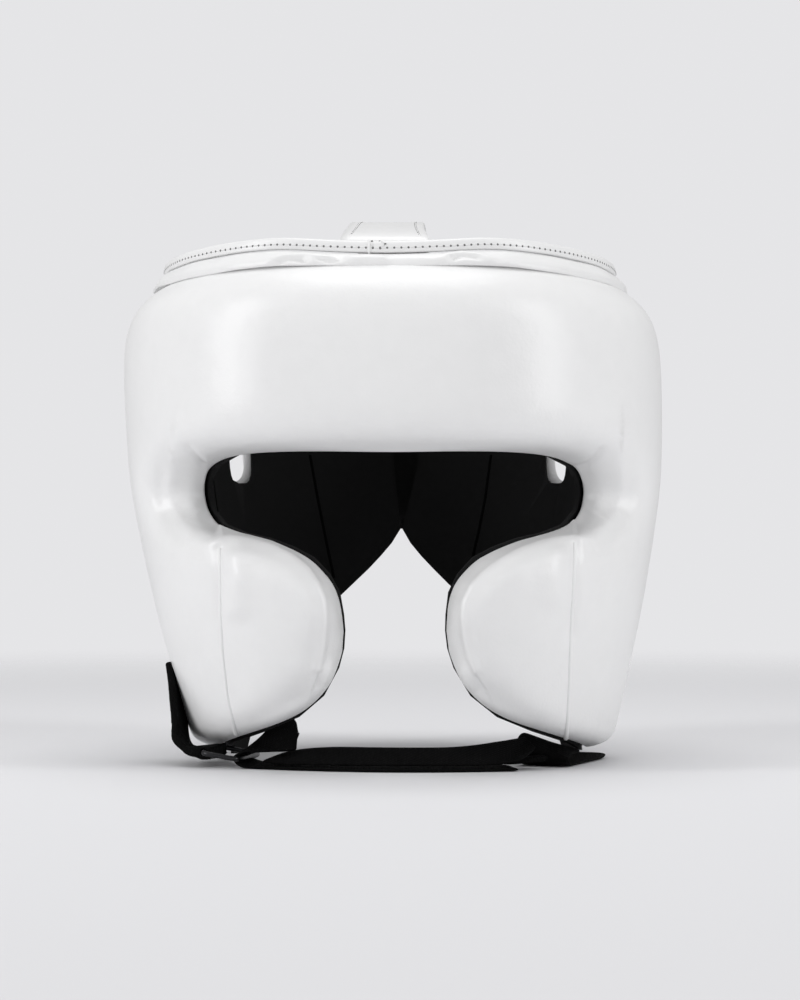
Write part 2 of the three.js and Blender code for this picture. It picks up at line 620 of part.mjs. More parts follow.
// Rounded rectangle of wire, lying in the strap's plane with its long sides across the strap
function ringGeometry(wire) {
  const heading = new THREE.Vector3(0, 0, 1);
  const halfWidth = RING.width / 2 - RING.wire / 2;
  const halfLength = RING.length / 2 - RING.wire / 2;
  const tip = radians(RING_TIP);
  const middleAt = (turn) => {
    const wide = halfWidth * squared(Math.cos(turn), RING.corner);
    const long = halfLength * squared(Math.sin(turn), RING.corner);
    const level = new THREE.Vector3(wide * Math.cos(tip), long, -wide * Math.sin(tip));
    return level.applyAxisAngle(heading, radians(RING_HEADING)).add(RING_CENTRE);
  };
  const flat = new THREE.Vector3(Math.sin(tip), 0, Math.cos(tip)).applyAxisAngle(heading, radians(RING_HEADING));
  const rings = [];
  for (let step = 0; step < RING.steps; step += 1) {
    const turn = 2 * Math.PI * (step + 0.5) / RING.steps;
    const middle = middleAt(turn);
    const outward = middle.clone().sub(RING_CENTRE).normalize();
    const ring = [];
    for (let side = 0; side < RING.sides; side += 1) {
      const spin = 2 * Math.PI * side / RING.sides;
      ring.push(middle.clone()
        .addScaledVector(outward, Math.cos(spin) * wire / 2)
        .addScaledVector(flat, Math.sin(spin) * wire / 2));
    }
    rings.push(ring);
  }
  return loft(rings, true);
}

// Doubled webbing whose end is a sleeve round the ring's near bar
function ringStrap() {
  const sleeve = RING_STRAP_ROWS.length - 2;
  const thickAt = (position) => THREE.MathUtils.lerp(
    RING_STRAP_THICK,
    RING_SLEEVE_THICK,
    THREE.MathUtils.smoothstep(position, sleeve - 0.6, sleeve + 0.2),
  );
  const webbing = solidOf(ribbon(RING_STRAP_ROWS, thickAt, STEPS_PER_ROW));
  return geometryOf(webbing.subtract(solidOf(ringGeometry(RING_HOLE))));
}

function solidOf(geometry) {
  return new wasm.Manifold(new wasm.Mesh({
    numProp: 3,
    vertProperties: geometry.attributes.position.array,
    triVerts: new Uint32Array(geometry.index.array),
  }));
}

function geometryOf(solid) {
  const mesh = solid.getMesh();
  const geometry = new THREE.BufferGeometry();
  geometry.setAttribute('position', new THREE.Float32BufferAttribute(mesh.vertProperties, 3));
  geometry.setIndex(Array.from(mesh.triVerts));
  return geometry;
}

const thin = () => WEBBING_THICK;
const pieces = [
  ['front_pad', frontPad(), WHITE_LEATHER],
  ['front_lining', frontLining(), BLACK_LINING],
  ['back_pad_left', backPad(-1), WHITE_LEATHER],
  ['back_pad_right', backPad(1), WHITE_LEATHER],
  ['back_lining_left', backLining(-1), BLACK_LINING],
  ['back_lining_right', backLining(1), BLACK_LINING],
  ['closure_flap', closureFlap(), WHITE_LEATHER],
  ['top_gusset', crownBand(GUSSET_SECTION, GUSSET_STEPS), WHITE_LEATHER],
  ['top_binding', crownBand(HEM_SECTION, HEM_STEPS), WHITE_LEATHER],
  ['crown_strap', crownStrap(), WHITE_LEATHER],
  ['ring_strap', ringStrap(), BLACK_WEBBING],
  ['strap_ring', ringGeometry(RING.wire), DARK_METAL],
  ['chin_strap', ribbon(CHIN_STRAP_ROWS, thin, STEPS_PER_ROW), BLACK_WEBBING],
  ['strap_pile', ribbon(PILE_ROWS, thin, STEPS_PER_ROW), BLACK_WEBBING],
  ['anchor_strap', ribbon(ANCHOR_ROWS, thin, STEPS_PER_ROW), BLACK_WEBBING],
  ['strap_link', ribbon(LINK_ROWS, () => LINK_THICK, 2), BLACK_WEBBING],
];

const guard = new THREE.Group();
const lean = new THREE.Matrix4().makeShear(0, 0, 0, 0, -LEAN, 0).setPosition(LEAN * LEAN_HEIGHT, 0, 0);
for (const [name, geometry, look] of pieces) {
  geometry.applyMatrix4(lean);
  const mesh = new THREE.Mesh(geometry, new THREE.MeshStandardMaterial(look));
  mesh.name = name;
  guard.add(mesh);
}

// The origin is the middle of the guard's box, on the floor
const box = new THREE.Box3().setFromObject(guard);
const middle = box.getCenter(new THREE.Vector3());
guard.position.set(-middle.x, -middle.y, -box.min.z);

export default guard;
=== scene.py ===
# %% [markdown]
# A white leather head guard with cheek pads, standing on its black chin strap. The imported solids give
# every size and place. This lesson dresses them: each solid is copied, rounded and given its leather,
# lining, webbing or steel, so the dressed piece lies where the solid is.

# %% Load the frame
import math

import bpy
import numpy as np
from mathutils import Matrix, Vector
from mathutils.bvhtree import BVHTree


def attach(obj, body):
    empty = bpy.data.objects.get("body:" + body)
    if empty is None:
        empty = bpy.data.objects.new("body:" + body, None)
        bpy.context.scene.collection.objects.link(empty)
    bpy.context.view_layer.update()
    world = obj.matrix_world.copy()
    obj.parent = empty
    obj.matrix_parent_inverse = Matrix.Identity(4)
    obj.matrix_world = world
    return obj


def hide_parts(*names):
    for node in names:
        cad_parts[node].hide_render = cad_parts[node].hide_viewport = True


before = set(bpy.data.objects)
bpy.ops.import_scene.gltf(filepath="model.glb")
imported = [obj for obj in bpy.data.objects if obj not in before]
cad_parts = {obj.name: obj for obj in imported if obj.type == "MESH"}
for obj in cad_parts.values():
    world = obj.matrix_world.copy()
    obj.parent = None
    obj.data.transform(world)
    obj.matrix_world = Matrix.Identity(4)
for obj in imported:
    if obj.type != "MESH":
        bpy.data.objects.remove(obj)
scene = bpy.context.scene
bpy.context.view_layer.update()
MM = 0.001
print("solids:", sorted(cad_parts))

# %% [markdown]
# The camera comes first, because creases and seams are later placed by looking through it. It stands
# level, far off with a long lens, a little to the right, as in a product photograph. Its lens is worked
# out from the real size of one pixel of the photograph at the point that it looks at.

# %% Camera
IMAGE_WIDTH = 800
IMAGE_HEIGHT = 1000
SENSOR = 36.0
CAMERA_DISTANCE = 1.5
CAMERA_HEIGHT = 113 * MM
PIXEL_SIZE = 0.4384 * MM
CAMERA_YAW = math.radians(1.2)
AIM = Vector((3.1 * MM, 2.2 * MM, CAMERA_HEIGHT))
TOWARDS_CAMERA = Vector((math.sin(CAMERA_YAW), -math.cos(CAMERA_YAW), 0))
TO_THE_RIGHT = (math.cos(CAMERA_YAW), math.sin(CAMERA_YAW), 0)

camera_data = bpy.data.cameras.new("photo_camera")
camera_data.sensor_width = SENSOR
camera_data.lens = SENSOR * CAMERA_DISTANCE / (IMAGE_HEIGHT * PIXEL_SIZE)
camera = bpy.data.objects.new("photo_camera", camera_data)
scene.collection.objects.link(camera)
camera.location = AIM + CAMERA_DISTANCE * TOWARDS_CAMERA
camera.rotation_euler = (math.radians(90), 0, CAMERA_YAW)
scene.camera = camera
print("lens", round(camera_data.lens, 1), "mm")


def pixel_ray(column, row):
    """Direction from the camera through a pixel of the photograph."""
    across = (column - IMAGE_WIDTH / 2) * PIXEL_SIZE
    up = (IMAGE_HEIGHT / 2 - row) * PIXEL_SIZE
    ahead = TOWARDS_CAMERA * CAMERA_DISTANCE
    return (Vector(TO_THE_RIGHT) * across + Vector((0, 0, up)) - ahead).normalized()


def pixels_of(points):
    """Column and row of each point in the photograph."""
    offset = points - np.array(camera.location)
    scale = CAMERA_DISTANCE / (-(offset @ np.array(TOWARDS_CAMERA)) * PIXEL_SIZE)
    columns = IMAGE_WIDTH / 2 + (offset @ np.array(TO_THE_RIGHT)) * scale
    rows = IMAGE_HEIGHT / 2 - offset[:, 2] * scale
    return np.stack((columns, rows), axis=1)


# %% [markdown]
# Short helpers do what a modeller does by hand over and over: select one object, apply a modifier, copy
# a solid with its loose triangles merged into quads, and read or write all of its points at once.

# %% Modelling helpers
MERGE_WITHIN = 0.001 * MM


def only(piece):
    """Selects one piece and nothing else."""
    bpy.ops.object.select_all(action="DESELECT")
    piece.select_set(True)
    bpy.context.view_layer.objects.active = piece


def apply_modifier(piece, kind, **settings):
    """Adds one modifier with its settings and applies it."""
    only(piece)
    modifier = piece.modifiers.new(kind.lower(), kind)
    for key, value in settings.items():
        setattr(modifier, key, value)
    bpy.ops.object.modifier_apply(modifier=modifier.name)


def rounded(piece, levels):
    """Rounds a piece off by subdividing it."""
    apply_modifier(piece, "SUBSURF", levels=levels, render_levels=levels)


def copy_of(node, name):
    """A new object with the solid's own mesh, its triangles merged and paired into quads."""
    piece = bpy.data.objects.new(name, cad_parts[node].data.copy())
    scene.collection.objects.link(piece)
    piece.data.materials.clear()
    only(piece)
    bpy.ops.object.mode_set(mode="EDIT")
    bpy.ops.mesh.select_all(action="SELECT")
    bpy.ops.mesh.remove_doubles(threshold=MERGE_WITHIN)
    bpy.ops.mesh.tris_convert_to_quads(face_threshold=math.pi, shape_threshold=math.pi,
                                       topology_influence=2)
    bpy.ops.object.mode_set(mode="OBJECT")
    return piece


def vertex_rows(piece, quality):
    """One row of three numbers for each point of a piece."""
    flat = np.empty(3 * len(piece.data.vertices))
    piece.data.vertices.foreach_get(quality, flat)
    return flat.reshape(-1, 3)


def points_of(piece):
    return vertex_rows(piece, "co")


def normals_of(piece):
    return vertex_rows(piece, "normal")


def set_points(piece, points):
    piece.data.vertices.foreach_set("co", points.ravel())
    piece.data.update()


def surface_of(piece):
    """The surface of a piece, to be hit by rays and searched for its nearest point."""
    return BVHTree.FromObject(piece, bpy.context.evaluated_depsgraph_get())


def dress(piece, material, slot, *nodes):
    """Gives a finished piece its material and body, and lets it stand for its solids. Its slot is not used.
    """
    only(piece)
    bpy.ops.object.shade_smooth()
    piece.data.materials.clear()
    piece.data.materials.append(material)
    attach(piece, "root")
    if nodes:
        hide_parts(*nodes)
    print(piece.name, len(piece.data.polygons), "faces")


# %% [markdown]
# The finishes are made of three effects: a cloudy unevenness, a fine grain and a weave. Each effect is
# one node group that takes its size in metres. A painted picture would need unwrapping, but a group on
# Object coordinates keeps its real size wherever the piece lies.

# %% Node groups
GRAIN_FINER = 2.7
RIB_REPEAT = 0.3  # A wave texture of scale 1 repeats at about this many metres
RIB_WANDER = 0.4


def new_group(name, inputs, output):
    """An empty node group with number inputs and one number output."""
    group = bpy.data.node_groups.new(name, "ShaderNodeTree")
    for label in inputs:
        group.interface.new_socket(label, in_out="INPUT", socket_type="NodeSocketFloat")
    group.interface.new_socket(output, in_out="OUTPUT", socket_type="NodeSocketFloat")
    return group, group.nodes.new("NodeGroupInput"), group.nodes.new("NodeGroupOutput")


def texture(group, kind, size, times=1):
    """A texture on Object coordinates; its scale is a number of times divided by the size in metres."""
    place = group.nodes.new("ShaderNodeTexCoord")
    scale = group.nodes.new("ShaderNodeMath")
    scale.operation = "DIVIDE"
    scale.inputs[0].default_value = times
    node = group.nodes.new(kind)
    group.links.new(size, scale.inputs[1])
    group.links.new(place.outputs["Object"], node.inputs["Vector"])
    group.links.new(scale.outputs[0], node.inputs["Scale"])
    return node


def cloud_group():
    """Soft unevenness from 0 to 1."""
    group, inlet, outlet = new_group("cloud", ("Size", "Detail"), "Mask")
    noise = texture(group, "ShaderNodeTexNoise", inlet.outputs["Size"])
    group.links.new(inlet.outputs["Detail"], noise.inputs["Detail"])
    group.links.new(noise.outputs["Fac"], outlet.inputs["Mask"])
    return group


def grain_group():
    """Height of pebbled leather or napped cloth: small cells with finer noise on them."""
    group, inlet, outlet = new_group("grain", ("Size", "Rough"), "Height")
    cells = texture(group, "ShaderNodeTexVoronoi", inlet.outputs["Size"])
    cells.feature = "SMOOTH_F1"
    noise = texture(group, "ShaderNodeTexNoise", inlet.outputs["Size"], GRAIN_FINER)
    mix = group.nodes.new("ShaderNodeMix")
    group.links.new(inlet.outputs["Rough"], mix.inputs["Factor"])
    group.links.new(cells.outputs["Distance"], mix.inputs["A"])
    group.links.new(noise.outputs["Fac"], mix.inputs["B"])
    group.links.new(mix.outputs["Result"], outlet.inputs["Height"])
    return group


def weave_group():
    """Height of woven webbing: two sets of ribs that cross."""
    group, inlet, outlet = new_group("weave", ("Size",), "Height")
    cross = group.nodes.new("ShaderNodeMath")
    cross.operation = "MULTIPLY"
    for socket, direction in zip(cross.inputs, ("DIAGONAL", "X")):
        ribs = texture(group, "ShaderNodeTexWave", inlet.outputs["Size"], RIB_REPEAT)
        ribs.bands_direction = direction
        ribs.inputs["Distortion"].default_value = RIB_WANDER
        group.links.new(ribs.outputs["Fac"], socket)
    group.links.new(cross.outputs[0], outlet.inputs["Height"])
    return group


CLOUD = cloud_group()
GRAIN = grain_group()
WEAVE = weave_group()
print("effects:", [group.name for group in (CLOUD, GRAIN, WEAVE)])

# %% [markdown]
# A material is one Principled shader fed by these effects. Small helpers turn a mask or a height into
# what the shader takes: a colour, a roughness or a bent normal.

# %% Material helpers
def grey(level, blue=None):
    """A neutral colour, or a slightly cool one where the blue is given."""
    return (level, level, level if blue is None else blue, 1)


def new_material(name):
    """A new material with its node tree and its shader."""
    material = bpy.data.materials.new(name)
    material.use_nodes = True
    return material, material.node_tree, material.node_tree.nodes["Principled BSDF"]


def effect(tree, group, **values):
    """The output of a shared effect, placed in a material with its own values."""
    node = tree.nodes.new("ShaderNodeGroup")
    node.node_tree = group
    for label, value in values.items():
        node.inputs[label].default_value = value
    return node.outputs[0]


def colour_between(tree, mask, low, high):
    """Colour that goes from low to high with a mask."""
    mix = tree.nodes.new("ShaderNodeMix")
    mix.data_type = "RGBA"
    mix.inputs["A"].default_value = low
    mix.inputs["B"].default_value = high
    tree.links.new(mask, mix.inputs["Factor"])
    return mix.outputs["Result"]


def value_between(tree, mask, low, high):
    """Number that goes from low to high with a mask."""
    span = tree.nodes.new("ShaderNodeMapRange")
    span.inputs["To Min"].default_value = low
    span.inputs["To Max"].default_value = high
    tree.links.new(mask, span.inputs["Value"])
    return span.outputs["Result"]


def bump_from(tree, height, strength, distance, under=None):
    """Normal bent by a height, on top of another bent normal if there is one under it."""
    bump = tree.nodes.new("ShaderNodeBump")
    if under is not None:
        tree.links.new(under, bump.inputs["Normal"])
    bump.inputs["Strength"].default_value = strength
    bump.inputs["Distance"].default_value = distance
    tree.links.new(height, bump.inputs["Height"])
    return bump.outputs["Normal"]


def feed(tree, shader, values):
    """Sets the shader's named inputs: an output of a node is linked, a number or colour is written in."""
    for label, value in values.items():
        if isinstance(value, bpy.types.NodeSocket):
            tree.links.new(value, shader.inputs[label])
        else:
            shader.inputs[label].default_value = value


# %% [markdown]
# The leather is white, smooth and half glossy, with shallow dimples and a grain that shows only close
# up. The lining is a napped black cloth, the straps are woven and the ring is dark polished wire.

# %% Materials
def white_leather():
    material, tree, shader = new_material("white_leather")
    cloud = effect(tree, CLOUD, Size=7 * MM, Detail=3)
    grain = effect(tree, GRAIN, Size=1.1 * MM, Rough=0.35)
    dimples = bump_from(tree, cloud, strength=0.3, distance=0.6 * MM)
    feed(tree, shader, {
        "Base Color": colour_between(tree, cloud, grey(0.80), grey(0.83)),
        "Roughness": value_between(tree, cloud, 0.28, 0.36),
        "Normal": bump_from(tree, grain, strength=0.25, distance=0.2 * MM, under=dimples),
    })
    return material


def black_lining():
    material, tree, shader = new_material("black_lining")
    cloud = effect(tree, CLOUD, Size=30 * MM, Detail=4)
    nap = effect(tree, GRAIN, Size=0.8 * MM, Rough=0.6)
    feed(tree, shader, {
        "Base Color": colour_between(tree, cloud, grey(0.010), grey(0.014, blue=0.0145)),
        "Roughness": 0.85,
        "Specular IOR Level": 0.12,
        "Normal": bump_from(tree, nap, strength=0.4, distance=0.3 * MM),
    })
    return material


def black_webbing():
    material, tree, shader = new_material("black_webbing")
    cloud = effect(tree, CLOUD, Size=12 * MM, Detail=4)
    weave = effect(tree, WEAVE, Size=1.2 * MM)
    feed(tree, shader, {
        "Base Color": colour_between(tree, cloud, grey(0.0012), grey(0.004, blue=0.0042)),
        "Roughness": 0.8,
        "Specular IOR Level": 0.05,
        "Normal": bump_from(tree, weave, strength=0.6, distance=0.3 * MM),
    })
    return material


def dark_steel():
    material, tree, shader = new_material("dark_steel")
    cloud = effect(tree, CLOUD, Size=4 * MM, Detail=5)
    feed(tree, shader, {
        "Base Color": grey(0.035, blue=0.037),
        "Metallic": 1,
        "Roughness": value_between(tree, cloud, 0.18, 0.42),
    })
    return material


def white_thread():
    material, tree, shader = new_material("white_thread")
    cloud = effect(tree, CLOUD, Size=0.4 * MM, Detail=2)
    feed(tree, shader, {
        "Base Color": colour_between(tree, cloud, grey(0.70), grey(0.84)),
        "Roughness": 0.6,
    })
    return material


# Painted shadow: beads in this dark grey stand in for the shade inside the needle holes.
def needle_shadow():
    material, tree, shader = new_material("needle_shadow")
    cloud = effect(tree, CLOUD, Size=1 * MM, Detail=2)
    feed(tree, shader, {
        "Base Color": colour_between(tree, cloud, grey(0.10), grey(0.22)),
        "Roughness": 0.9,
    })
    return material


LEATHER = white_leather()
LINING = black_lining()
WEBBING = black_webbing()
STEEL = dark_steel()
THREAD = white_thread()
HOLE_SHADOW = needle_shadow()
print("materials:", len(bpy.data.materials))

# %% [markdown]
# The front pad is one horseshoe of foam under stretched leather. It could be sculpted, but cloth
# pressure gives the even swelling of a stuffed pad. The copied solid is rounded off, swollen a little
# while its inner side stays sewn down, and rounded again.

# %% Padding helper
PRESSURE = 4
PUFF_FRAMES = 20
SEWN_UNDER = 0.1
SWELL_CAP = 1.5 * MM
NO_LENGTH = 1e-9


def puff(piece):
    """Swells a pad with cloth pressure; its inner side stays sewn down, and no point moves past the cap."""
    rest = points_of(piece)
    outward = rest[:, :2] / np.linalg.norm(rest[:, :2], axis=1)[:, None]
    facing_out = (normals_of(piece)[:, :2] * outward).sum(axis=1)
    sewn = piece.vertex_groups.new(name="sewn")
    sewn.add([int(index) for index in np.flatnonzero(facing_out < SEWN_UNDER)], 1, "REPLACE")
    cloth = piece.modifiers.new("cloth", "CLOTH")
    cloth.settings.use_pressure = True
    cloth.settings.uniform_pressure_force = PRESSURE
    cloth.settings.vertex_group_mass = sewn.name
    cloth.settings.effector_weights.gravity = 0
    for step in range(1, PUFF_FRAMES + 1):
        scene.frame_set(step)
    only(piece)
    bpy.ops.object.modifier_apply(modifier=cloth.name)
    scene.frame_set(1)
    move = points_of(piece) - rest
    length = np.linalg.norm(move, axis=1)
    print(piece.name, "swelled up to", round(length.max() / MM, 2), "mm before the cap")
    move *= np.minimum(1, SWELL_CAP / np.maximum(length, NO_LENGTH))[:, None]
    set_points(piece, rest + move)
    piece.vertex_groups.clear()


# %% Front pad
front_pad = copy_of("front_pad", "front_pad_leather")
rounded(front_pad, 1)
puff(front_pad)
rounded(front_pad, 2)

# %% [markdown]
# Folds and seams are drawn as short lines of pixels in the photograph. A sculpting brush would follow
# them by hand. Here every point of the pad that faces the camera knows its own pixel, so a line can
# raise or sink the leather beside it, along the points' normals or straight towards the camera.

# %% Lines pressed into a pad
FACING_FULLY = 0.05
FADE = 0.06


def beside_line(pixels, line):
    """Distance of pixels from a line, positive on its right as it runs down, and the share along it."""
    line = np.array(line, dtype=float)
    lengths = np.linalg.norm(np.diff(line, axis=0), axis=1)
    nearest = np.full(len(pixels), np.inf)
    signed = np.zeros(len(pixels))
    share = np.zeros(len(pixels))
    done = 0
    for start, end, length in zip(line[:-1], line[1:], lengths):
        way = (end - start) / length
        along = np.clip((pixels - start) @ way, 0, length)
        away = pixels - start - along[:, None] * way
        distance = np.linalg.norm(away, axis=1)
        closer = distance < nearest
        right = away[:, 0] * way[1] - away[:, 1] * way[0]
        nearest[closer] = distance[closer]
        signed[closer] = np.copysign(distance, right)[closer]
        share[closer] = ((done + along) / lengths.sum())[closer]
        done += length
    return signed, share


def ramp(values, start, end):
    """Smooth way from 0 at the start to 1 at the end."""
    part = np.clip((values - start) / (end - start), 0, 1)
    return part * part * (3 - 2 * part)


def press(piece, line, height, width, offset=0, side=1, start=0, end=1, towards=None):
    """Raises, or below zero sinks, a soft line on the side of a piece that faces the camera.

    The height is in metres, and the width and the offset from the line are in pixels. The offset is to the
    right as the line runs down, or to the left where side is -1. The start and end are shares of the line.
    """
    points, normals = points_of(piece), normals_of(piece)
    way = normals if towards is None else np.array(towards)
    signed, share = beside_line(pixels_of(points), line)
    facing = ramp(normals @ np.array(TOWARDS_CAMERA), 0, FACING_FULLY)
    run = ramp(share, start - FADE, start + FADE) - ramp(share, end - FADE, end + FADE) * (end < 1)
    move = height * np.exp(-((signed * side - offset) / width) ** 2) * run * facing
    set_points(piece, points + move[:, None] * way)


# %% [markdown]
# Beside each eye a ridge runs down, then along the top of the cheek and round its front. At the eye the
# rim inside the ridge comes forward; along the cheek the leather is full below the ridge, with a narrow
# crest.

# %% Ridges round the eyes and cheeks
LEFT_RIDGE = ((171, 462), (169, 490), (171, 505), (179, 524), (192, 540), (207, 546), (228, 540),
              (250, 541), (270, 546), (290, 556), (307, 570), (317, 585), (323, 600), (324, 620),
              (322, 645), (317, 668))
RIGHT_RIDGE = ((622, 455), (622, 485), (619, 502), (615, 517), (605, 530), (592, 540), (574, 539),
               (560, 541), (540, 544), (522, 550), (502, 561), (485, 574), (472, 587), (465, 602),
               (464, 617), (466, 637), (470, 655), (477, 670))
EYE_SHARE = 0.3
EYE_RIM = {"height": 5 * MM, "width": 18, "offset": -30, "end": 0.4, "towards": TOWARDS_CAMERA}
EYE_RIM_ROOT = {"height": 2.5 * MM, "width": 13, "offset": -14, "end": 0.42, "towards": TOWARDS_CAMERA}
EYE_RIDGE = {"height": 1.5 * MM, "width": 8, "offset": -2, "end": EYE_SHARE}
CHEEK_TOP = {"height": 1.5 * MM, "width": 17, "offset": 7, "start": EYE_SHARE}
CHEEK_CREST = {"height": 1.1 * MM, "width": 4.5, "start": EYE_SHARE}

for ridge, pad_side in ((LEFT_RIDGE, -1), (RIGHT_RIDGE, 1)):
    for form in (EYE_RIM, EYE_RIM_ROOT, EYE_RIDGE, CHEEK_TOP, CHEEK_CREST):
        press(front_pad, ridge, side=pad_side, **form)

# %% [markdown]
# The padding is also fuller in the lower eye corners and along the lower edges of the cheeks.

# %% Fuller eye corners and lower edges
LEFT_CORNER = ((192, 515), (202, 528), (214, 536))
RIGHT_CORNER = ((600, 515), (592, 528), (580, 535))
LEFT_BOTTOM = ((204, 742), (212, 743), (240, 737), (262, 730), (287, 718), (308, 707), (325, 690),
               (335, 673))
RIGHT_BOTTOM = ((603, 750), (566, 740), (531, 732), (497, 715), (470, 697), (457, 677))
CORNER_FILL = {"height": 3 * MM, "width": 11, "towards": TOWARDS_CAMERA}
BOTTOM_FILL = {"height": 5 * MM, "width": 10, "towards": TOWARDS_CAMERA}

for corner in (LEFT_CORNER, RIGHT_CORNER):
    press(front_pad, corner, **CORNER_FILL)
for bottom in (LEFT_BOTTOM, RIGHT_BOTTOM):
    press(front_pad, bottom, **BOTTOM_FILL)

# %% [markdown]
# A seam crosses each cheek: its upper part is a valley with the cheek swelling beside it. A short fold
# leaves each upper eye corner, and three small puckers lie beside the top of the right seam.

# %% Cheek seams, folds and puckers
LEFT_SEAM = ((220, 549), (221, 580), (221, 615), (223, 653), (228, 697), (237, 738))
RIGHT_SEAM = ((574, 543), (573, 580), (571, 615), (570, 640), (569, 680), (566, 738))
LEFT_VALLEY = {"height": -1.2 * MM, "width": 3.2, "offset": -2, "end": 0.36}
LEFT_SWELL = {"height": 1.8 * MM, "width": 13, "offset": 16, "end": 0.36}
RIGHT_VALLEY = {"height": -1.3 * MM, "width": 4, "offset": 2, "end": 0.5}
RIGHT_SWELL = {"height": 1.4 * MM, "width": 15, "offset": -18, "end": 0.34}
LEFT_FOLD = ((187, 446), (197, 457), (204, 464), (211, 467))
RIGHT_FOLD = ((602, 448), (594, 458), (583, 465), (572, 468))
FOLD = {"height": -1.0 * MM, "width": 2.6}
PUCKERS = (((579, 541), (581, 557)), ((585, 540), (588, 556)), ((591, 540), (597, 553)))
PUCKER = {"height": -0.35 * MM, "width": 1.7}

for form in (LEFT_VALLEY, LEFT_SWELL):
    press(front_pad, LEFT_SEAM, **form)
for form in (RIGHT_VALLEY, RIGHT_SWELL):
    press(front_pad, RIGHT_SEAM, **form)
for fold in (LEFT_FOLD, RIGHT_FOLD):
    press(front_pad, fold, **FOLD)
for pucker in PUCKERS:
    press(front_pad, pucker, **PUCKER)
dress(front_pad, LEATHER, "white_leather", "front_pad")

# %% [markdown]
# The two rear pads are foam under leather as well. A slot for the ear is cut through each, so their
# copies are remeshed into even small squares before they swell.

# %% Rear pads
REAR_VOXEL = 3 * MM
REAR_SMOOTHING = 8
SMOOTH_SHARE = 0.5


def remeshed(piece, size, smoothing):
    """Turns a piece into even small squares and smooths away the steps."""
    apply_modifier(piece, "REMESH", mode="VOXEL", voxel_size=size)
    apply_modifier(piece, "SMOOTH", factor=SMOOTH_SHARE, iterations=smoothing)


for side in ("left", "right"):
    rear_pad = copy_of("back_pad_" + side, "back_pad_" + side + "_leather")
    remeshed(rear_pad, REAR_VOXEL, REAR_SMOOTHING)
    puff(rear_pad)
    rounded(rear_pad, 1)
    dress(rear_pad, LEATHER, "white_leather", "back_pad_" + side)

# %% [markdown]
# The linings are napped black cloth laid over the inner side of the pads. Their cut edges stay crisp:
# the front lining's are creased before it is rounded, and the rear linings are only shaded smooth
# between them.

# %% Linings
LINING_EDGE = 50
LINING_SMOOTH_UNDER = 40


def crisp(piece, degrees):
    """Creases the edges that bend by more than an angle, so that rounding keeps them."""
    only(piece)
    bpy.ops.object.mode_set(mode="EDIT")
    bpy.ops.mesh.select_all(action="DESELECT")
    bpy.ops.mesh.edges_select_sharp(sharpness=math.radians(degrees))
    bpy.ops.transform.edge_crease(value=1)
    bpy.ops.object.mode_set(mode="OBJECT")


front_lining = copy_of("front_lining", "front_lining_cloth")
crisp(front_lining, LINING_EDGE)
rounded(front_lining, 2)
dress(front_lining, LINING, "black_lining", "front_lining")
rear_linings = {}
for side in ("left", "right"):
    lining = copy_of("back_lining_" + side, "back_lining_" + side + "_cloth")
    dress(lining, LINING, "black_lining", "back_lining_" + side)
    bpy.ops.object.shade_smooth_by_angle(angle=math.radians(LINING_SMOOTH_UNDER))
    rear_linings[side] = lining

# %% [markdown]
# Where two parts of a piece are sewn together, the edge shows as a thin welt. Its line is drawn in
# pixels, seen through the camera onto the piece and swept as a thin tube that is sunk in by half or
# more.

# %% Welt helpers
WELT_STEPS = 40


def path_lengths(path):
    """Length along a path from its start to each of its points."""
    return np.concatenate(([0], np.cumsum(np.linalg.norm(np.diff(path, axis=0), axis=1))))


def spaced(path, count):
    """Points at even steps along a path."""
    lengths = path_lengths(path)
    stations = np.linspace(0, lengths[-1], count)
    return np.stack([np.interp(stations, lengths, values) for values in path.T], axis=1)


def seen_on(surface, line):
    """Where the camera's rays through a drawn line meet a surface."""
    pixels = spaced(np.array(line, dtype=float), WELT_STEPS)
    hits = [surface.ray_cast(camera.location, pixel_ray(*pixel))[0] for pixel in pixels]
    return [hit for hit in hits if hit is not None]


def welt(name, piece, line, radius, material, slot, sunk=0):
    """Sweeps a thin tube along a drawn line on a piece, pushed in away from the camera."""
    curve = bpy.data.curves.new(name, "CURVE")
    curve.dimensions = "3D"
    curve.bevel_depth = radius
    curve.use_fill_caps = True
    path = seen_on(surface_of(piece), line)
    spline = curve.splines.new("POLY")
    spline.points.add(len(path) - 1)
    for spot, place in zip(spline.points, path):
        spot.co = (*(place - sunk * TOWARDS_CAMERA), 1)
    tube = bpy.data.objects.new(name, curve)
    scene.collection.objects.link(tube)
    only(tube)
    bpy.ops.object.convert(target="MESH")
    dress(bpy.context.object, material, slot)


# %% Welts along the lining and cheek seams
LINING_SEAMS = {"left": ((310, 455), (318, 500), (327, 545), (334, 578)),
                "right": ((491, 455), (485, 500), (478, 535), (472, 560))}
LINING_WELT = 0.65 * MM
CHEEK_SEAMS = {"left": LEFT_SEAM, "right": RIGHT_SEAM}
CHEEK_WELT = 1.1 * MM
CHEEK_WELT_SUNK = 0.75 * MM

for side, lining in rear_linings.items():
    welt("lining_seam_" + side, lining, LINING_SEAMS[side], LINING_WELT, WEBBING, "black_lining")
    welt("cheek_seam_" + side, front_pad, CHEEK_SEAMS[side], CHEEK_WELT, LEATHER, "white_leather",
         CHEEK_WELT_SUNK)

# %% [markdown]
# The flap that closes the back is leather outside and lining inside, so its inner faces take the black
# cloth.

# %% Closing flap
BAND_EDGE = 60
FACING_IN = -0.5

flap = copy_of("closure_flap", "closure_flap_leather")
crisp(flap, BAND_EDGE)
rounded(flap, 2)
dress(flap, LEATHER, "white_leather", "closure_flap")
flap.data.materials.append(LINING)
for face in flap.data.polygons:
    facing_out = face.normal.xy.dot(face.center.xy.normalized())
    face.material_index = int(facing_out < FACING_IN)

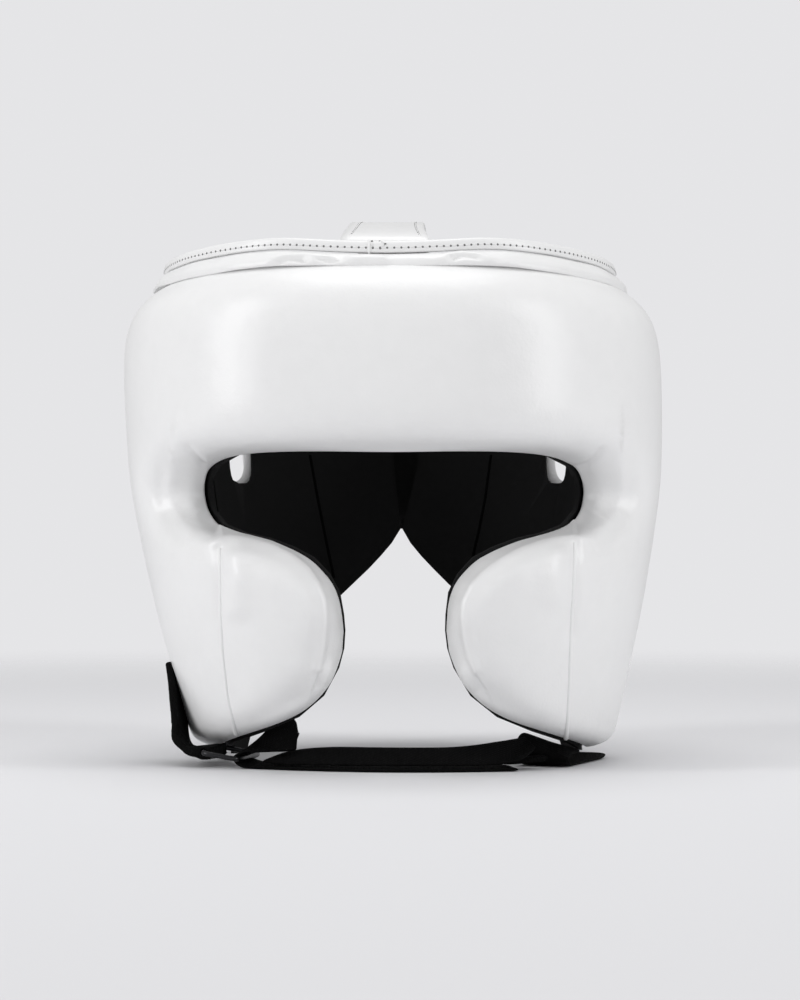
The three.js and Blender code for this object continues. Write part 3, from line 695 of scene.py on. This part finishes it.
# %% [markdown]
# A thin strip of leather is gathered between the pad and the hem. It puckers in lens-shaped folds where
# the hem bends over the brow, so a few folds are pressed into it. Where it lies close to the pad it is
# tucked in.

# %% Gathered strip
GUSSET_RIDGES = (((268, 261), (286, 256), (305, 255), (324, 257), (342, 259)),
                 ((440, 257), (460, 253), (478, 255), (494, 260)), ((350, 258), (368, 257), (384, 258)))
GUSSET_HOLLOWS = (((274, 261), (288, 258), (304, 258)), ((318, 257), (330, 258), (342, 257)),
                  ((452, 257), (464, 255), (478, 257)))
GUSSET_RIDGE = {"height": 0.8 * MM, "width": 2.2}
GUSSET_HOLLOW = {"height": -1.2 * MM, "width": 2.2}
TUCK_FROM = 2.8 * MM
TUCK_FULLY = 1.5 * MM
TUCK_DEPTH = 0.5 * MM


def tucked(piece, pad):
    """Lays the points of a strip that are close to a pad just under the pad's surface."""
    surface = surface_of(pad)
    points = points_of(piece)
    for index, point in enumerate(points):
        place, normal, _, distance = surface.find_nearest(Vector(point))
        share = ramp(distance, TUCK_FROM, TUCK_FULLY)
        points[index] += share * (np.array(place - TUCK_DEPTH * normal) - point)
    set_points(piece, points)


gusset = copy_of("top_gusset", "top_gusset_leather")
rounded(gusset, 2)
for ridge in GUSSET_RIDGES:
    press(gusset, ridge, **GUSSET_RIDGE)
for hollow in GUSSET_HOLLOWS:
    press(gusset, hollow, **GUSSET_HOLLOW)
tucked(gusset, front_pad)
dress(gusset, LEATHER, "white_leather", "top_gusset")

# %% [markdown]
# The hem is a rolled band of leather. Its two ends meet over the brow, where a thin welt marks the join.
# The crown strap is a flat band with crisp edges, sewn in under the hem.

# %% Hem and crown strap
HEM_JOIN = ((369, 240), (369, 254))
HEM_JOIN_WELT = 0.5 * MM

hem = copy_of("top_binding", "top_binding_leather")
rounded(hem, 2)
dress(hem, LEATHER, "white_leather", "top_binding")
welt("hem_join", hem, HEM_JOIN, HEM_JOIN_WELT, LEATHER, "white_leather")
crown_strap = copy_of("crown_strap", "crown_strap_leather")
crisp(crown_strap, BAND_EDGE)
rounded(crown_strap, 2)
dress(crown_strap, LEATHER, "white_leather", "crown_strap")

# %% [markdown]
# A row of white stitches runs round the hem and along both sides of the crown strap, and a small box of
# them holds the hem's join. A bump could only hint at them, so each stitch is a real bead of thread. It
# is modelled once and copied along the row, with a flat dark bead after each as painted shadow in the
# needle hole.

# %% Stitch helpers
STITCH_PITCH = 2.9 * MM
STITCH_SIZE = (2.3 * MM, 0.55 * MM, 0.55 * MM)
HOLE_SIZE = (0.95 * MM, 0.95 * MM, 0.35 * MM)
HALF_A_PITCH = 0.5
BEAD_SEGMENTS = 8
BEAD_RINGS = 6
BEAD_RADIUS = 0.5  # One across, so that a size scales it


def even_places(path, surface):
    """Stitch places along a path on a surface: point, outward normal and way along."""
    path = np.array(path)
    count = int(path_lengths(path)[-1] / STITCH_PITCH) + 1
    spots = spaced(path, count)
    places = []
    for before, after in zip(spots[:-1], spots[1:]):
        point, normal, _, _ = surface.find_nearest(Vector((before + after) / 2))
        places.append((point, normal, Vector(after - before).normalized()))
    return places


def bead_row(name, places, size, material, shift=0):
    """One small bead, copied to every place, moved along by a share of the pitch, and joined."""
    bpy.ops.object.select_all(action="DESELECT")
    bpy.ops.mesh.primitive_uv_sphere_add(segments=BEAD_SEGMENTS, ring_count=BEAD_RINGS, radius=BEAD_RADIUS)
    first = bpy.context.object
    copies = []
    for point, normal, way in places:
        across = normal.cross(way).normalized()
        turn = Matrix((way * size[0], across * size[1], normal * size[2])).transposed().to_4x4()
        turn.translation = point + way * shift * STITCH_PITCH
        bead = bpy.data.objects.new(name, first.data.copy())
        bead.data.transform(turn)
        scene.collection.objects.link(bead)
        copies.append(bead)
    bpy.data.objects.remove(first)
    only(copies[0])
    for bead in copies:
        bead.select_set(True)
    bpy.ops.object.join()
    dress(copies[0], material, "white_leather")


def stitch_rows(name, places):
    """A row of stitches, with flat dark beads between them as painted shadow in the needle holes."""
    bead_row(name, places, STITCH_SIZE, THREAD)
    # The dark beads are painted shadow in the needle holes between the stitches.
    bead_row(name + "_holes", places, HOLE_SIZE, HOLE_SHADOW, shift=HALF_A_PITCH)


# %% [markdown]
# The row on the hem runs at a share of its height. So the hem's lowest and highest level are found in
# many directions, and a ray from outside finds the hem's surface at the row's level in each.

# %% Stitches round the hem
HEM_WAYS = 144
HEM_ROW_SHARE = 0.42
FROM_OUTSIDE = 200 * MM
BAR_TACK = ((372, 241), (385, 241), (385, 248), (372, 248), (372, 241))

hem_points = points_of(hem)
hem_turns = np.arctan2(hem_points[:, 0], -hem_points[:, 1]) / (2 * math.pi)
hem_ways = np.round(hem_turns * HEM_WAYS).astype(int) % HEM_WAYS
hem_low = np.full(HEM_WAYS, np.inf)
hem_high = np.full(HEM_WAYS, -np.inf)
np.minimum.at(hem_low, hem_ways, hem_points[:, 2])
np.maximum.at(hem_high, hem_ways, hem_points[:, 2])
hem_surface = surface_of(hem)
hem_path = []
for step in range(HEM_WAYS + 1):
    angle = 2 * math.pi * step / HEM_WAYS
    index = step % HEM_WAYS
    level = hem_low[index] + HEM_ROW_SHARE * (hem_high[index] - hem_low[index])
    outward = Vector((math.sin(angle), -math.cos(angle), 0))
    hit = hem_surface.ray_cast(FROM_OUTSIDE * outward + Vector((0, 0, level)), -outward)[0]
    if hit is not None:
        hem_path.append(hit)
stitch_rows("hem_stitches", even_places(hem_path, hem_surface))
stitch_rows("bar_tack", even_places(seen_on(hem_surface, BAR_TACK), hem_surface))

# %% Stitches along the crown strap
CROWN_INSET = 4 * MM
CROWN_FROM = -90 * MM
CROWN_TO = 94 * MM
CROWN_STEPS = 40
NEAREST_POINTS = 32
FROM_ABOVE = 300 * MM
DOWN = Vector((0, 0, -1))

crown_points = points_of(crown_strap)
crown_surface = surface_of(crown_strap)
for side, name in ((-1, "left"), (1, "right")):
    path = []
    for along in np.linspace(CROWN_FROM, CROWN_TO, CROWN_STEPS):
        nearest = np.argsort(abs(crown_points[:, 1] - along))[:NEAREST_POINTS]
        columns = crown_points[nearest, 0]
        edge = columns.min() if side < 0 else columns.max()
        hit = crown_surface.ray_cast(Vector((edge - side * CROWN_INSET, along, FROM_ABOVE)), DOWN)[0]
        if hit is not None:
            path.append(hit)
    stitch_rows("crown_stitches_" + name, even_places(path, crown_surface))

# %% [markdown]
# The fastening is woven webbing in five parts: the strap that holds the ring, the chin strap that passes
# through the ring and is folded back, the pile along it, a folded strap under the right cheek, and the
# short link from there to the chin strap. They are rounded at their cut edges. The ring's strap is
# hollowed round the wire, which leaves uneven triangles, so it is remeshed instead, and then laid
# inwards to the cheek.

# %% Straps
END_ROUND = 8 * MM
FLAP_ABOVE = 8.4 * MM
FLAP_LEFT_OF = -20 * MM
STRAP_VOXEL = 0.7 * MM
STRAP_SMOOTHING = 3
HUG = 1.5 * MM
HUG_FROM = 8 * MM
HUG_FULLY = 18 * MM


def round_flap_end(piece):
    """Rounds the free end of the strap's folded flap, which stands above the rest at its left."""
    points = points_of(piece)
    flap_points = (points[:, 2] > FLAP_ABOVE) & (points[:, 0] < FLAP_LEFT_OF)
    from_end = points[flap_points, 0].max() - points[:, 0]
    tip = flap_points & (from_end < END_ROUND)
    middle = (points[tip, 1:].max(axis=0) + points[tip, 1:].min(axis=0)) / 2
    narrowing = np.sqrt(1 - (1 - from_end[tip] / END_ROUND) ** 2)
    points[tip, 1:] = middle + narrowing[:, None] * (points[tip, 1:] - middle)
    set_points(piece, points)


def lay_inwards(piece):
    """Moves the upright part of the ring's strap to the right, towards the cheek."""
    points = points_of(piece)
    points[:, 0] += HUG * ramp(points[:, 2], HUG_FROM, HUG_FULLY)
    set_points(piece, points)


for node in ("ring_strap", "chin_strap", "strap_pile", "anchor_strap", "strap_link"):
    strap = copy_of(node, node + "_webbing")
    if node == "ring_strap":
        remeshed(strap, STRAP_VOXEL, STRAP_SMOOTHING)
        lay_inwards(strap)
    else:
        rounded(strap, 2)
    if node == "chin_strap":
        round_flap_end(strap)
    dress(strap, WEBBING, "black_webbing", node)

# %% [markdown]
# The ring is bent from dark wire and only glints a little.

# %% Ring
ring = copy_of("strap_ring", "strap_ring_wire")
rounded(ring, 2)
dress(ring, STEEL, "dark_steel", "strap_ring")

# %% [markdown]
# The guard stands on a wide pale floor. A hard edge would show as a horizon, so towards its rim the
# floor fades out into the pale background.

# %% Floor
FLOOR_RADIUS = 1.15
FLOOR_SIDES = 96
FLOOR_FADE_FROM = 0.5


def pale_floor():
    material, tree, shader = new_material("pale_floor")
    feed(tree, shader, {"Base Color": grey(0.75, blue=0.765), "Roughness": 0.9, "Specular IOR Level": 0.2})
    place = tree.nodes.new("ShaderNodeTexCoord")
    reach = tree.nodes.new("ShaderNodeVectorMath")
    reach.operation = "LENGTH"
    fade = tree.nodes.new("ShaderNodeMapRange")
    fade.interpolation_type = "SMOOTHSTEP"
    fade.inputs["From Min"].default_value = FLOOR_FADE_FROM
    fade.inputs["From Max"].default_value = FLOOR_RADIUS
    clear = tree.nodes.new("ShaderNodeBsdfTransparent")
    blend = tree.nodes.new("ShaderNodeMixShader")
    tree.links.new(place.outputs["Object"], reach.inputs[0])
    tree.links.new(reach.outputs["Value"], fade.inputs["Value"])
    tree.links.new(fade.outputs["Result"], blend.inputs["Fac"])
    tree.links.new(shader.outputs["BSDF"], blend.inputs[1])
    tree.links.new(clear.outputs["BSDF"], blend.inputs[2])
    tree.links.new(blend.outputs["Shader"], tree.nodes["Material Output"].inputs["Surface"])
    return material


bpy.ops.object.select_all(action="DESELECT")
bpy.ops.mesh.primitive_circle_add(vertices=FLOOR_SIDES, radius=FLOOR_RADIUS, fill_type="NGON",
                                  location=(0, 0, 0))
floor = bpy.context.object
floor.name = "floor"
floor.data.materials.append(pale_floor())
print("floor", 2 * FLOOR_RADIUS, "m across")

# %% [markdown]
# Two tall strips at the sides give the long soft highlights on the brow, a wide box near the camera
# fills the face and a box overhead lights the hem and floor. Places and sizes are in metres, powers in
# watts.

# %% Lamps
STRIP_ASIDE = 1.5
STRIP_BEFORE = -0.75
STRIP_HEIGHT = 0.65
STRIP_SIZE = (0.45, 1.7)


def soft_box(name, place, size, power):
    """A rectangular lamp that looks at the guard and isn't seen itself."""
    light = bpy.data.lights.new(name, "AREA")
    light.shape = "RECTANGLE"
    light.size, light.size_y = size
    light.energy = power
    box = bpy.data.objects.new(name, light)
    scene.collection.objects.link(box)
    box.location = place
    box.rotation_euler = (AIM - Vector(place)).to_track_quat("-Z", "Y").to_euler()
    box.visible_camera = False
    print(name, power, "W")


soft_box("left_strip", place=(-STRIP_ASIDE, STRIP_BEFORE, STRIP_HEIGHT), size=STRIP_SIZE, power=14)
soft_box("right_strip", place=(STRIP_ASIDE, STRIP_BEFORE, STRIP_HEIGHT), size=STRIP_SIZE, power=11.6)
soft_box("front_box", place=(-0.1, -2.4, 0.4), size=(3.4, 1.2), power=4.8)
soft_box("top_box", place=(0, 0.1, 1.8), size=(1.1, 1.1), power=11.5)

# %% [markdown]
# The pale backdrop is seen by the camera only. All else is lit by a darker, even fill, which keeps the
# shadows open without washing out the highlights.

# %% Backdrop and fill
BACKDROP_COLOUR = grey(0.785, blue=0.80)
FILL_COLOUR = grey(0.46, blue=0.465)

world = bpy.data.worlds.new("studio")
scene.world = world
world.use_nodes = True
world_nodes, world_links = world.node_tree.nodes, world.node_tree.links
backdrop = world_nodes["Background"]
backdrop.inputs["Color"].default_value = BACKDROP_COLOUR
fill = world_nodes.new("ShaderNodeBackground")
fill.inputs["Color"].default_value = FILL_COLOUR
seen = world_nodes.new("ShaderNodeLightPath")
either = world_nodes.new("ShaderNodeMixShader")
world_links.new(seen.outputs["Is Camera Ray"], either.inputs["Fac"])
world_links.new(fill.outputs["Background"], either.inputs[1])
world_links.new(backdrop.outputs["Background"], either.inputs[2])
world_links.new(either.outputs["Shader"], world_nodes["World Output"].inputs["Surface"])
scene.view_settings.view_transform = "Standard"
print("backdrop", BACKDROP_COLOUR[:3], "fill", FILL_COLOUR[:3])
